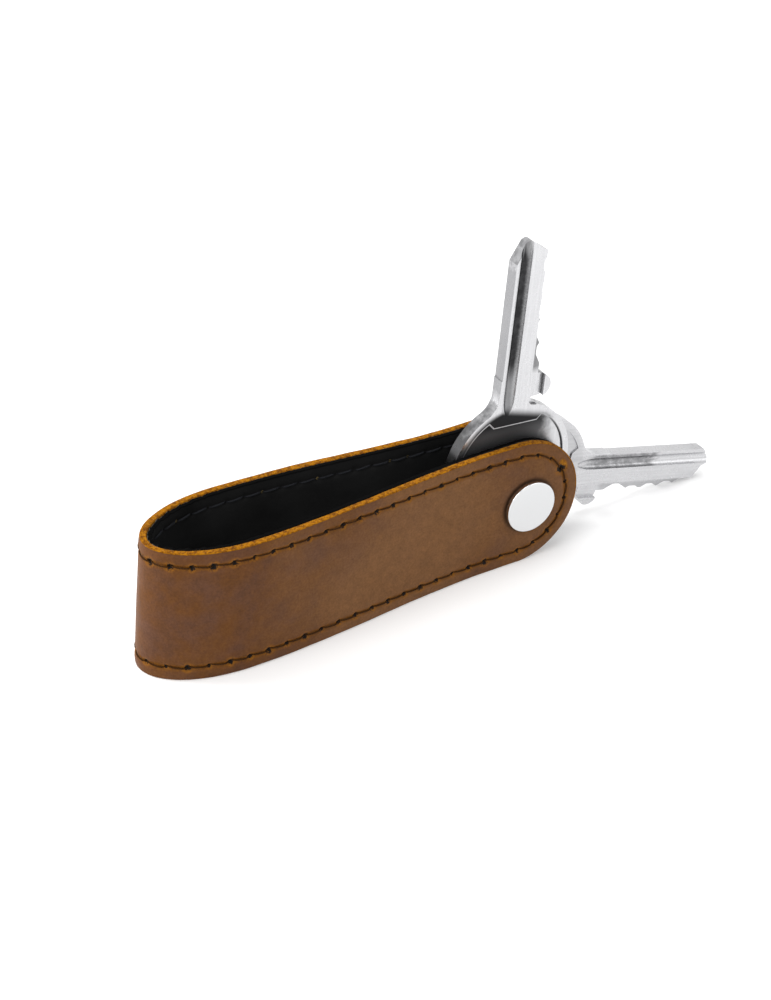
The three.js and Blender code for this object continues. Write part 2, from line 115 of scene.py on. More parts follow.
class StrapSettings(bpy.types.PropertyGroup):
    """Sizes and colours of the leather, its lining and its seam."""

    fold_run: length_prop("Fold run", "Length of the rounded fold", 15.2)
    fold_lean: length_prop("Fold lean", "How far the fold's upper edge lies back towards the post", 1.9)
    clamp_run: length_prop("Clamp run", "Flat stretch on the fold's side of the post", 6)
    head_thickness: length_prop(
        "Head thickness", "Thickness of the post's heads, with their seat on the leather", 0.85)
    lining_thickness: length_prop("Lining thickness", "Thickness of the black lining", 0.7)
    lining_level: length_prop("Lining level", "Height of the lining's upper edge from the leather's", -0.06)
    skive: length_prop(
        "Skive", "Thickness that the leather has lost, and the lining and cement have filled", 0.05)
    hole_radius: length_prop("Hole radius", "Radius of the punched post holes", 2.6)
    edge_round: length_prop("Edge round", "Rounding of the leather's cut edge", 0.2)
    edge_roll: length_prop("Edge roll", "How far the leather's face falls back towards the cut edge", 0.12)
    seam_inset: length_prop("Seam inset", "Distance of the seam from the cut edge", 2.3)
    straight_stitches: count_prop("Straight stitches", "Stitches along each long edge", 43)
    end_stitches: count_prop("End stitches", "Stitches round each round end", 9)
    groove_depth: length_prop("Groove depth", "How deep the thread has drawn the leather in", 0.16)
    puncture_depth: length_prop("Puncture depth", "Depth of the dimple at each needle hole", 0.42)
    puncture_radius: length_prop("Puncture radius", "Radius of the dimple at each needle hole", 0.36)
    waviness: length_prop("Waviness", "Height of the slow waves in the leather", 0.1)
    thread_radius: length_prop("Thread radius", "Radius of the sewing thread", 0.13)
    bobbin_radius: length_prop(
        "Bobbin radius", "Radius of the thread on the lining, which is flatter and wider", 0.18)
    frayed_hole: count_prop("Frayed hole", "Number of the needle hole that has torn open", 98)
    leather: colour_prop("Leather", "Main colour of the oiled leather", "#653e1b")
    leather_pale: colour_prop("Pale leather", "Colour where the oil has been pulled away", "#7a5433")
    leather_dark: colour_prop("Dark leather", "Colour where the oil has gathered", "#5d3d2b")
    raw_edge: colour_prop("Raw edge", "Colour of the cut edge's fibres", "#683a02")
    raw_edge_pale: colour_prop("Pale raw edge", "Colour of the cut edge's palest fibres", "#a96d06")
    lining: colour_prop("Lining", "Colour of the lining", "#232323")
    brown_thread: colour_prop("Brown thread", "Colour of the thread on the leather", "#452808")
    black_thread: colour_prop("Black thread", "Colour of the thread on the lining", "#27282c")


class MetalSettings(bpy.types.PropertyGroup):
    """Sizes and colours of the screw post, its washers and the keys."""

    rim_round: length_prop("Rim round", "Rounding of the post head's rim", 0.14)
    crown: length_prop("Crown", "How far the polished head swells in its middle", 0.04)
    edge_break: length_prop("Edge break", "Width of the worn edges of the keys and the screw's slot", 0.16)
    nickel: colour_prop("Nickel", "Colour of the polished nickel plate", "#dcddde")
    nylon: colour_prop("Nylon", "Colour of the washers", "#1b1b1c")
    bow_rim: length_prop("Bow rim", "Width of the rim round a bow's sunk panel", 1.2)
    panel_flat: length_prop("Panel flat", "From the panel's round in to its flat side", 2.35)
    panel_step: length_prop("Panel step", "From the panel's flat side out to its corners", 1)


# Settings that each key has of its own: name, description, the upright key's default and the lower key's
KEY_LOOKS = (
    ("plate", "Colour of the {} key's faces", "#d0d0d2", "#cacacc"),
    ("wall", "Colour of the {} key's spine", "#959597", "#c9c9cb"),
    # The cuts colour also paints shade on the spine between the straps
    ("cuts", "Colour of the {} key's cut flanks", "#6a6a6b", "#adadaf"),
    # Painted shade at the sunk edges
    ("crevice", "Colour at the {} key's sunk edges", "#4a4a4b", "#c4c4c6"),
    # Tarnish and painted reflection in the groove
    ("tarnish", "Colour in the {} key's groove", "#333334", "#949496"),
    ("tip", "Start and end of the tarnish's fade at the tip, in mm, and least share",
     (0.2, 3.5, 0.7), (11.5, 13.0, 0.06)),
    ("neck", "Start and end of the tarnish's fade at the neck, in mm, and least share",
     (24.5, 20.0, 0.68), (28.2, 25.2, 0.2)),
    ("foot", "Start and end of the tarnish's fade below the groove, in mm", (3.4, 2.15), (3.3, 2.8)),
    ("land", "Start and end of the tarnish's rise above the groove, in mm, and its share",
     (0.55, 0.95, 0.4), (0.2, 0.5, 1.0)),
    # Share of painted reflection of the black lining on the bow
    ("smudge", "Share of tarnish on the {} key's bow", 1.0, 0.12),
)


def key_prop(name, description, default):
    """A setting of one key: a colour, a share, or the values of a fade."""
    if isinstance(default, str):
        return colour_prop(name, description, default)
    if isinstance(default, float):
        return bpy.props.FloatProperty(name=name, description=description, default=default, subtype="FACTOR")
    return bpy.props.FloatVectorProperty(
        name=name, description=description, default=default, size=len(default))


for part, meaning, *defaults in KEY_LOOKS:
    for which, default in zip(("upright", "lower"), defaults):
        MetalSettings.__annotations__[which + "_" + part] = key_prop(
            which.capitalize() + " " + part, meaning.format(which), default)


class StageSettings(bpy.types.PropertyGroup):
    """The floor's colour and the camera."""

    floor: colour_prop("Floor", "Colour of the floor", "#e9e9e9")
    camera_place: bpy.props.FloatVectorProperty(
        name="Camera place", description="Where the camera stands",
        default=(-105.74 * MM, -242.55 * MM, 203.98 * MM), subtype="TRANSLATION")
    camera_azimuth: angle_prop("Camera azimuth", "Turn of the view from +Y towards +X", 31.544)
    camera_elevation: angle_prop("Camera elevation", "Fall of the view below the horizon", 33.393)
    camera_roll: angle_prop("Camera roll", "Turn of the picture about its middle", 0.944)
    camera_lens: bpy.props.FloatProperty(
        name="Camera lens", description="Focal length in millimetres on a 36 mm sensor",
        default=78.25, subtype="DISTANCE_CAMERA")


def colour(text):
    """Linear RGBA of an sRGB hex colour."""
    srgb = np.array([int(text[i:i + 2], 16) for i in (1, 3, 5)]) / 255
    linear = np.where(srgb <= 0.04045, srgb / 12.92, ((srgb + 0.055) / 1.055) ** 2.4)
    return (*linear.tolist(), 1.0)


def node(tree, kind, inputs=(), output=None, **settings):
    """Adds a node with these settings, where a second word in kind is its mode. The inputs are in the order
    of the sockets that the node then uses, or by name, and each is linked to a socket or set to a value or a
    hex colour. Gives the output socket of that name, or the first that the node uses."""
    kind, _, mode = kind.partition(" ")
    made = tree.nodes.new("ShaderNode" + kind)
    if mode:
        settings[MODES[kind]] = mode
    for name, value in settings.items():
        setattr(made, name, value)
    if isinstance(inputs, dict):
        pairs = [(made.inputs[name], value) for name, value in inputs.items()]
    else:
        pairs = zip([socket for socket in made.inputs if socket.enabled], inputs)
    for socket, value in pairs:
        if isinstance(value, bpy.types.NodeSocket):
            tree.links.new(value, socket)
        else:
            socket.default_value = colour(value) if isinstance(value, str) else value
    if output:
        return made.outputs[output]
    return next((socket for socket in made.outputs if socket.enabled), None)


def empty_tree(owner):
    """Empties the node tree of a material or world. Gives the function that adds a node to it."""
    owner.use_nodes = True
    owner.node_tree.nodes.clear()
    return functools.partial(node, owner.node_tree)


def new_material(name):
    """An empty node material, with the function that adds a node to it."""
    material = bpy.data.materials.new(name)
    return material, empty_tree(material)


def shaded(material, shader):
    """Links a shader to a material's output. Gives the material."""
    node(material.node_tree, "OutputMaterial", (shader,))
    return material


def link_object(name, data):
    """An object of that name and data, in the scene."""
    made = bpy.data.objects.new(name, data)
    bpy.context.scene.collection.objects.link(made)
    return made


def close_mesh(mesh, gap, flatten=False):
    """Merges points that lie within gap of one another, makes flat faces whole where flatten asks for it, and
    leaves smooth faces that point outwards."""
    shell = bmesh.new()
    shell.from_mesh(mesh)
    bmesh.ops.remove_doubles(shell, verts=shell.verts, dist=gap)
    loose = [v for v in shell.verts if not v.link_faces]
    bmesh.ops.delete(shell, geom=loose, context="VERTS")
    if flatten:
        bmesh.ops.dissolve_limit(shell, angle_limit=math.radians(0.5), verts=shell.verts, edges=shell.edges)
    bmesh.ops.recalc_face_normals(shell, faces=shell.faces)
    for face in shell.faces:
        face.smooth = True
    shell.to_mesh(mesh)
    shell.free()


def surface(name, points, uv=None, kept=None):
    """Object of a closed surface from a grid of points (rows, columns, 3): a quad between each four
    neighbours, apart from those that kept leaves out. Rows or columns that meet are merged, which closes
    seams and poles. uv gives a map (rows, columns, 2) that is stored as "seam"."""
    rows, columns = points.shape[:2]
    index = np.arange(rows * columns).reshape(rows, columns)
    quads = np.stack([index[:-1, :-1], index[1:, :-1], index[1:, 1:], index[:-1, 1:]], -1)
    quads = quads.reshape(-1, 4) if kept is None else quads[kept]
    mesh = bpy.data.meshes.new(name)
    mesh.from_pydata(points.reshape(-1, 3), [], quads)
    if uv is not None:
        layer = mesh.uv_layers.new(name="seam")
        layer.data.foreach_set("uv", uv.reshape(-1, 2)[quads.ravel()].astype(np.float32).ravel())
    close_mesh(mesh, 0.002 * MM)
    return link_object(name, mesh)


def dress(piece, material, body, slot, *nodes):
    """Gives a piece its material, and says which body it rides on and the nodes it stands for; slot is not
    used.
    """
    piece.data.materials.clear()
    piece.data.materials.append(material)
    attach(piece, body)
    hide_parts(*nodes)


def plan_table(strap):
    """The strap's plan at mid leather from the fold to an end, as distance along it, place and direction: a
    quarter ellipse round the fold, a cosine taper that closes the loop and a flat stretch under the post."""
    clamp_depth = SCREW_HIGH.y - strap.head_thickness - LEATHER / 2
    turn = np.linspace(0, math.pi / 2, 800)
    run = np.linspace(0, 1, 800)
    taper_run = POST_X - strap.clamp_run - strap.fold_run
    taper_x = strap.fold_run + taper_run * run[1:]
    taper_y = clamp_depth + (LOOP_HALF_DEPTH - clamp_depth) * (1 + np.cos(math.pi * run[1:])) / 2
    x = np.concatenate([strap.fold_run * (1 - np.cos(turn)), taper_x, [STRAP_HIGH.x]])
    y = np.concatenate([LOOP_HALF_DEPTH * np.sin(turn), taper_y, [clamp_depth]])
    along = np.concatenate([[0], np.cumsum(np.hypot(np.diff(x), np.diff(y)))])
    heading = np.stack([np.gradient(x, along), np.gradient(y, along)])
    heading[:, 0] = (0, 1)
    heading[:, -1] = (1, 0)
    return along, x, y, heading


def bend(strap, s, w, depth):
    """Points of the bent strap, and its outward normals there, from arrays on the flat strip: the plan's
    place at distance s from the fold, moved outwards by depth, at height w, with the fold's upper edge
    leaning back."""
    along, x, y, heading = plan_table(strap)
    reach = np.abs(s)
    side = np.where(s < 0, -1.0, 1.0)
    tx = np.interp(reach, along, heading[0])
    ty = np.interp(reach, along, heading[1])
    size = np.hypot(tx, ty)
    normal = np.stack([-ty / size, side * tx / size, np.zeros_like(tx)], -1)
    place = np.stack([np.interp(reach, along, x), side * np.interp(reach, along, y), w], -1)
    place = place + normal * np.asarray(depth)[..., None]
    near = np.maximum(0, 1 - place[..., 0] / POST_X)
    place[..., 0] += strap.fold_lean * near * place[..., 2] / STRAP_WIDTH
    return place, normal


def course(strap, stitch):
    """Once round the flat strip, by stitch number: the middle of the turn (its place along the strip's middle
    line) and the turn's angle. Along a long edge the middle moves, and round an end the angle does."""
    half = plan_table(strap)[0][-1] - STRAP_WIDTH / 2
    a, b = strap.straight_stitches, strap.end_stitches
    marks = np.cumsum([0, a, b, a, b])
    middle = np.interp(stitch, marks, [-half, half, half, -half, -half])
    angle = np.interp(stitch, marks, np.radians([-90, -90, 90, 90, 270]))
    return middle, angle


def slow_waves(s, w, seed, count=7):
    """A smooth field of about -1 to 1 on the flat strip: a sum of sine waves 12 to 45 mm long."""
    draw = np.random.default_rng(seed)
    length = draw.uniform(12 * MM, 45 * MM, count)
    turn = draw.uniform(0, math.tau, count)
    phase = draw.uniform(0, math.tau, count)
    along = s[..., None] * np.cos(turn) + w[..., None] * np.sin(turn)
    return np.sin(math.tau * along / length + phase).sum(-1) / math.sqrt(count) / 1.4


def strip(strap, name, faces, setback, rounding, relief, ragged):
    """A strip of the strap as a closed shell: a profile carried once round the flat strip's outline. At each
    station the profile runs over the outer face from the strip's middle line, or from the post hole's rim at
    a round end, out to the cut edge, round the edge and back over the inner face. faces are the outer and
    inner depths, relief (stitch, inset, s, w, face) adds to them, and ragged (stitch) moves the edge in."""
    outer, inner = faces
    steps = 8
    total = 2 * (strap.straight_stitches + strap.end_stitches)
    stitch = np.linspace(0, total, total * steps + 1)
    middle, angle = course(strap, stitch)
    post_s = plan_table(strap)[0][-1] - (STRAP_HIGH.x - POST_X)
    side = np.sign(middle)
    at_end = np.abs(middle) >= np.abs(middle).max() - 1e-9
    turned = np.where(side > 0, 2 * angle, 2 * angle - math.pi)
    rim_s = side * post_s + strap.hole_radius * np.cos(turned)
    rim_w = POST_Z + strap.hole_radius * np.sin(turned)
    line_s = middle * (post_s - strap.hole_radius) / np.abs(middle).max()
    target_s = np.where(at_end, rim_s, line_s)
    target_w = np.where(at_end, rim_w, POST_Z)

    # The profile's rows: inset from the cut edge, share of the way to the target, and place in the thickness
    band = 5 * MM
    outer_rows, wall_rows, inner_rows = 10, 3, 6
    corner = np.linspace(0, math.pi / 2, 5)
    face_rows = np.linspace(band, rounding, 26)[1:-1]
    back_rows = np.linspace(rounding, band, 13)[1:]
    edge_rows = len(face_rows) + 2 * len(corner) + wall_rows + len(back_rows)
    inset = np.concatenate([
        np.full(outer_rows, band), face_rows, rounding * (1 - np.sin(corner)), np.zeros(wall_rows),
        rounding * (1 - np.cos(corner)), back_rows, np.full(inner_rows + 1, band)])
    share = np.concatenate([
        np.linspace(1, 0, outer_rows), np.zeros(edge_rows), np.linspace(1 / inner_rows, 1, inner_rows), [1]])
    wall = np.linspace(outer - rounding, inner + rounding, wall_rows + 2)[1:-1]
    depth = np.concatenate([
        np.full(outer_rows + len(face_rows), outer), outer - rounding * (1 - np.cos(corner)), wall,
        inner + rounding * (1 - np.sin(corner)), np.full(len(back_rows) + inner_rows, inner), [outer]])
    face = np.clip((depth - inner) / (outer - inner) * 2 - 1, -1, 1)

    # Distance over the profile from the outer corner: positive on the outer face, negative round the edge
    run = np.where(depth == outer, inset, np.where(depth == inner, inner - outer - inset, depth - outer))

    inset_grid = inset[:, None] + setback
    reach = STRAP_WIDTH / 2 - inset_grid - ragged(stitch)[None, :] * np.exp(-inset[:, None] / (0.6 * MM))
    s = middle + reach * np.cos(angle)
    w = STRAP_WIDTH / 2 + reach * np.sin(angle)
    s = s + (target_s - s) * share[:, None]
    w = w + (target_w - w) * share[:, None]
    lift = relief(stitch[None, :], inset_grid, s, w, face[:, None])
    lift[-1] = lift[0]
    points, _ = bend(strap, s, w, depth[:, None] + lift)
    kept = np.ones((len(inset) - 1, len(stitch) - 1), bool)
    kept[-1] = at_end[:-1] & at_end[1:]
    uv = np.stack(np.broadcast_arrays(stitch[None, :], run[:, None] / MM), -1)
    return surface(name, points, uv, kept)


def seam_hollow(strap, stitch, inset):
    """The seam's depth: a trough along the seam and a dimple round each needle hole, both bell-shaped."""
    across = inset - strap.seam_inset
    from_hole = (stitch - np.round(stitch)) * stitch_pitch(strap)
    trough = strap.groove_depth * np.exp(-(across / (0.45 * MM)) ** 2)
    reach = (across ** 2 + from_hole ** 2) / strap.puncture_radius ** 2
    return trough + strap.puncture_depth * np.exp(-reach)


def stitch_pitch(strap):
    """Length of a stitch along the strap's straight edges."""
    return 2 * (plan_table(strap)[0][-1] - STRAP_WIDTH / 2) / strap.straight_stitches


def from_post(strap, s, w):
    """Distance on the flat strip from the middle of the nearest post hole."""
    post_s = plan_table(strap)[0][-1] - (STRAP_HIGH.x - POST_X)
    return np.hypot(np.abs(s) - post_s, w - POST_Z)


def clear_of_post(strap, s, w):
    """0 under the post's heads and washers, rising smoothly to 1 away from them."""
    return 1 - np.exp(-(from_post(strap, s, w) / (8.5 * MM)) ** 6)


def seam_coordinates(add, strap, seam_at):
    """Sockets for the place on a sewn strip, whose seam lies at seam_at: object coordinates, distance over
    the profile, distance from the seam's line and from the nearest needle hole, all in millimetres, that
    hole's number, and the place from it, along the seam and across it."""
    place = add("TexCoord", output="Object")
    stitch = add("SeparateXYZ", (add("UVMap", uv_map="seam"),))
    run = stitch.node.outputs["Y"]
    number = add("Math ROUND", (stitch,))
    off = add("Math SUBTRACT", (stitch, number))
    along = add("Math MULTIPLY", (off, stitch_pitch(strap) / MM))
    across = add("Math SUBTRACT", (run, seam_at))
    spot = add("CombineXYZ", (along, across))
    hole = add("VectorMath LENGTH", (spot,))
    trough = add("Math ABSOLUTE", (across,))
    return place, run, trough, hole, number, spot


def pull_up_leather(strap):
    """Oiled pull-up leather, drum dyed and waxed: a soft satin face whose colour clouds from ochre to a mauve
    brown where the oil has moved, with a pebbled grain, and raw fibres of orange tan at its cut edges."""
    material, add = new_material("oiled pull-up leather")
    place, run, trough, hole, number, spot = seam_coordinates(add, strap, strap.seam_inset / MM)

    clouds = add("TexNoise", (place, 1 / (6 * MM), 5, 0.6))
    broad = add("TexNoise", (place, 1 / (24 * MM), 3))
    # The true pores are about 0.15 mm apart: they are drawn three times as coarse, so that they show
    pores = add("TexNoise", (place, 1 / (0.5 * MM), 3, 0.65))
    fibres = add("TexNoise", (place, 1 / (0.35 * MM), 4, 0.7))

    # The strap is paler behind the post than at the fold
    lengthwise = add("SeparateXYZ", (place,))
    pale_band = add("Math SUBTRACT", (lengthwise, 0.74 * POST_X))
    pale_band = add("Math ABSOLUTE", (pale_band,))
    pale_band = add("MapRange", (pale_band, 0.55 * POST_X, 0))
    paleness = add("Math MULTIPLY_ADD", (pale_band, 0.5, broad))
    oiled = add("MapRange SMOOTHSTEP", (clouds, *NOISE))
    worn = add("MapRange SMOOTHSTEP", (paleness, 0.53, 1.03))
    face = add("Mix RGBA", (oiled, strap.leather_dark, strap.leather))
    face = add("Mix RGBA", (worn, face, strap.leather_pale))
    mottle = add("TexNoise", (place, 1 / (1.8 * MM), 5, 0.7))
    speckle = add("MapRange", (mottle, *NOISE, 0.86, 1.14))
    pitted = add("MapRange", (fibres, *NOISE, 0.8, 1.2))
    speckle = add("Math MULTIPLY", (speckle, pitted))
    face = add("VectorMath SCALE", (face, speckle))

    # Painted shade in a dark line round the post's heads, where they sit on the leather
    arm = add("VectorMath SUBTRACT", (place, (POST_X, 0, POST_Z)))
    arm = add("VectorMath MULTIPLY", (arm, (1, 0, 1)))
    arm = add("VectorMath LENGTH", (arm,))
    ring = add("MapRange SMOOTHSTEP", (arm, HEAD_RADIUS + 0.8 * MM, HEAD_RADIUS, 0, 0.75))
    face = add("Mix RGBA", (ring, face, "#170d07"))

    # The true fibres are far finer: they are drawn as flecks of about half a millimetre, so that they show
    flecks = add("TexNoise", (place, 1 / (0.6 * MM), 5, 0.75))
    combed = add("MapRange SMOOTHSTEP", (flecks, 0.38, 0.6))
    raw = add("Mix RGBA", (combed, strap.raw_edge, strap.raw_edge_pale))

    # The drawn seam shows raw fibre, and each needle hole is a dot of painted shade of its own size
    patchy = add("MapRange", (fibres, 0.38, 0.6))
    halo = add("MapRange SMOOTHSTEP", (trough, 0.8, 0.25, 0, 0.95))
    halo = add("Math MULTIPLY", (halo, patchy))
    chance = add("TexWhiteNoise", (number,), noise_dimensions="1D")
    torn = add("Math COMPARE", (number, strap.frayed_hole, 0.1))
    size = add("Math MULTIPLY_ADD", (chance, 0.7, 0.9))
    size = add("Math MULTIPLY_ADD", (torn, 0.9, size))
    spread = add("Math DIVIDE", (hole, size))
    spread = add("Math MULTIPLY_ADD", (fibres, 0.8, spread))
    burst = add("MapRange SMOOTHSTEP", (spread, 1.2, 0.9, 0, 0.8))
    burst = add("Math MULTIPLY", (burst, patchy))
    hole_shade = add("MapRange SMOOTHSTEP", (spread, 0.82, 0.66))

    # A torn flap of fibre lies beside the frayed hole
    flap = add("VectorMath SUBTRACT", (spot, (-0.5, -0.8, 0)))
    flap = add("VectorMath MULTIPLY", (flap, (0.7, 1.3, 0)))
    flap = add("VectorMath LENGTH", (flap,))
    flap = add("Math MULTIPLY_ADD", (flecks, 2, flap))
    flap = add("MapRange", (flap, 1.9, 1.6))
    flap = add("Math MULTIPLY", (torn, flap))
    for share, layer in ((halo, "#7d4d11"), (burst, "#8f5a12"), (flap, raw), (hole_shade, "#0d0907")):
        face = add("Mix RGBA", (share, face, layer))

    # The cut edge begins at a slightly uneven line, and at the round ends it is rubbed back over the corner
    uneven = add("Math MULTIPLY_ADD", (fibres, 0.4, run))
    rubbed = add("MapRange", (lengthwise, POST_X + 3 * MM, STRAP_HIGH.x, 0, 0.3))
    uneven = add("Math SUBTRACT", (uneven, rubbed))
    cut = add("MapRange SMOOTHSTEP", (uneven, 0.28, 0.15))
    tint = add("Mix RGBA", (cut, face, raw))

    satin = add("MapRange", (clouds, *NOISE, 0.5, 0.62))
    rough = add("Mix", (cut, satin, 0.9))
    grain = add("Bump", {"Height": pores, "Strength": 0.2, "Distance": 0.12 * MM})
    fuzz = add("Math MULTIPLY", (fibres, cut))
    grain = add("Bump", {"Height": fuzz, "Strength": 0.8, "Distance": 0.3 * MM, "Normal": grain})
    return shaded(material, add("BsdfPrincipled", {
        "Base Color": tint, "Roughness": rough, "IOR": 1.4, "Specular IOR Level": 0.17, "Normal": grain,
        "Sheen Weight": 0.12, "Sheen Roughness": 0.35, "Sheen Tint": "#e6c3a0"}))


def coated_lining(strap):
    """Black lining leather, buffed: near black and matte, with a fine grain, deeper black at its trimmed
    edge, a thin pale line of bare fibre with a painted highlight there, and a pale fleck of fibre at some of
    the needle holes."""
    material, add = new_material("black lining leather")
    thickness = strap.lining_thickness + strap.skive
    seam_at = -(thickness + strap.seam_inset - LINING_SETBACK) / MM
    place, run, _, hole, number, _ = seam_coordinates(add, strap, seam_at)
    pores = add("TexNoise", (place, 1 / (0.6 * MM), 3, 0.6))
    clouds = add("TexNoise", (place, 1 / (9 * MM), 3))
    shade = add("MapRange", (clouds, *NOISE, 0.7, 1.3))
    edge = add("MapRange", (run, -0.3 - thickness / MM, -thickness / MM, 1, 0.15))
    shade = add("Math MULTIPLY", (shade, edge))
    face = add("VectorMath SCALE", (colour(strap.lining)[:3], shade))
    chance = add("TexWhiteNoise", (number,), noise_dimensions="1D")
    chance = add("MapRange", (chance, 0.4, 0.9))
    fleck = add("MapRange", (hole, 0.3, 0.15))
    fleck = add("Math MULTIPLY", (fleck, chance))
    face = add("Mix RGBA", (fleck, face, "#8a7850"))

    # A thin pale line along the back strap's trimmed edge, at its outer corner: bare fibre with a painted
    # highlight
    rear = add("SeparateXYZ", (place,), "Y")
    rear = add("MapRange", (rear, -5 * MM, 0))
    frayed = add("Math MULTIPLY_ADD", (pores, 0.3, run))
    trimmed = add("MapRange", (frayed, 0.06, 0.1))
    backed = add("Math LESS_THAN", (run, 0.02))
    trimmed = add("Math MULTIPLY", (trimmed, backed))
    trimmed = add("Math MULTIPLY", (trimmed, rear))
    tint = add("Mix RGBA", (trimmed, face, "#6b675f"))
    rough = add("MapRange", (clouds, *NOISE, 0.5, 0.64))
    grain = add("Bump", {"Height": pores, "Strength": 0.25, "Distance": 0.12 * MM})
    return shaded(material, add("BsdfPrincipled", {
        "Base Color": tint, "Roughness": rough, "IOR": 1.4, "Specular IOR Level": 0.015, "Normal": grain}))


def waxed_thread(name, tint):
    """Waxed polyester thread of two twisted plies: dull and dark, with a slanting twist shown as bands of
    painted shade.
    """
    material, add = new_material(name)
    seam = add("UVMap", uv_map="seam")
    # The true twist is about 0.3 mm long: it is drawn twice as coarse, so that it shows
    plies = add("TexWave", (seam, 1.6, 0.6), "Fac", wave_type="BANDS", bands_direction="DIAGONAL")
    # The twist's bands are darker: painted shade between the plies
    dark = tuple(0.55 * c for c in colour(tint)[:3]) + (1.0,)
    shade = add("Mix RGBA", (plies, dark, tint))
    twist = add("Bump", {"Height": plies, "Strength": 0.5, "Distance": 0.05 * MM})
    return shaded(material, add("BsdfPrincipled", {
        "Base Color": shade, "Roughness": 0.75, "IOR": 1.35, "Specular IOR Level": 0.2, "Normal": twist}))


def polished_nickel(metal):
    """Nickel-plated brass, turned and polished: a clear bright mirror with a faint haze."""
    material, add = new_material("polished nickel plate")
    place = add("TexCoord", output="Object")
    haze = add("TexNoise", (place, 1 / (2.5 * MM), 4))
    rough = add("MapRange", (haze, 0.35, 0.7, 0.1, 0.22))
    return shaded(material, add("BsdfPrincipled", {
        "Base Color": metal.nickel, "Metallic": 1.0, "Roughness": rough}))


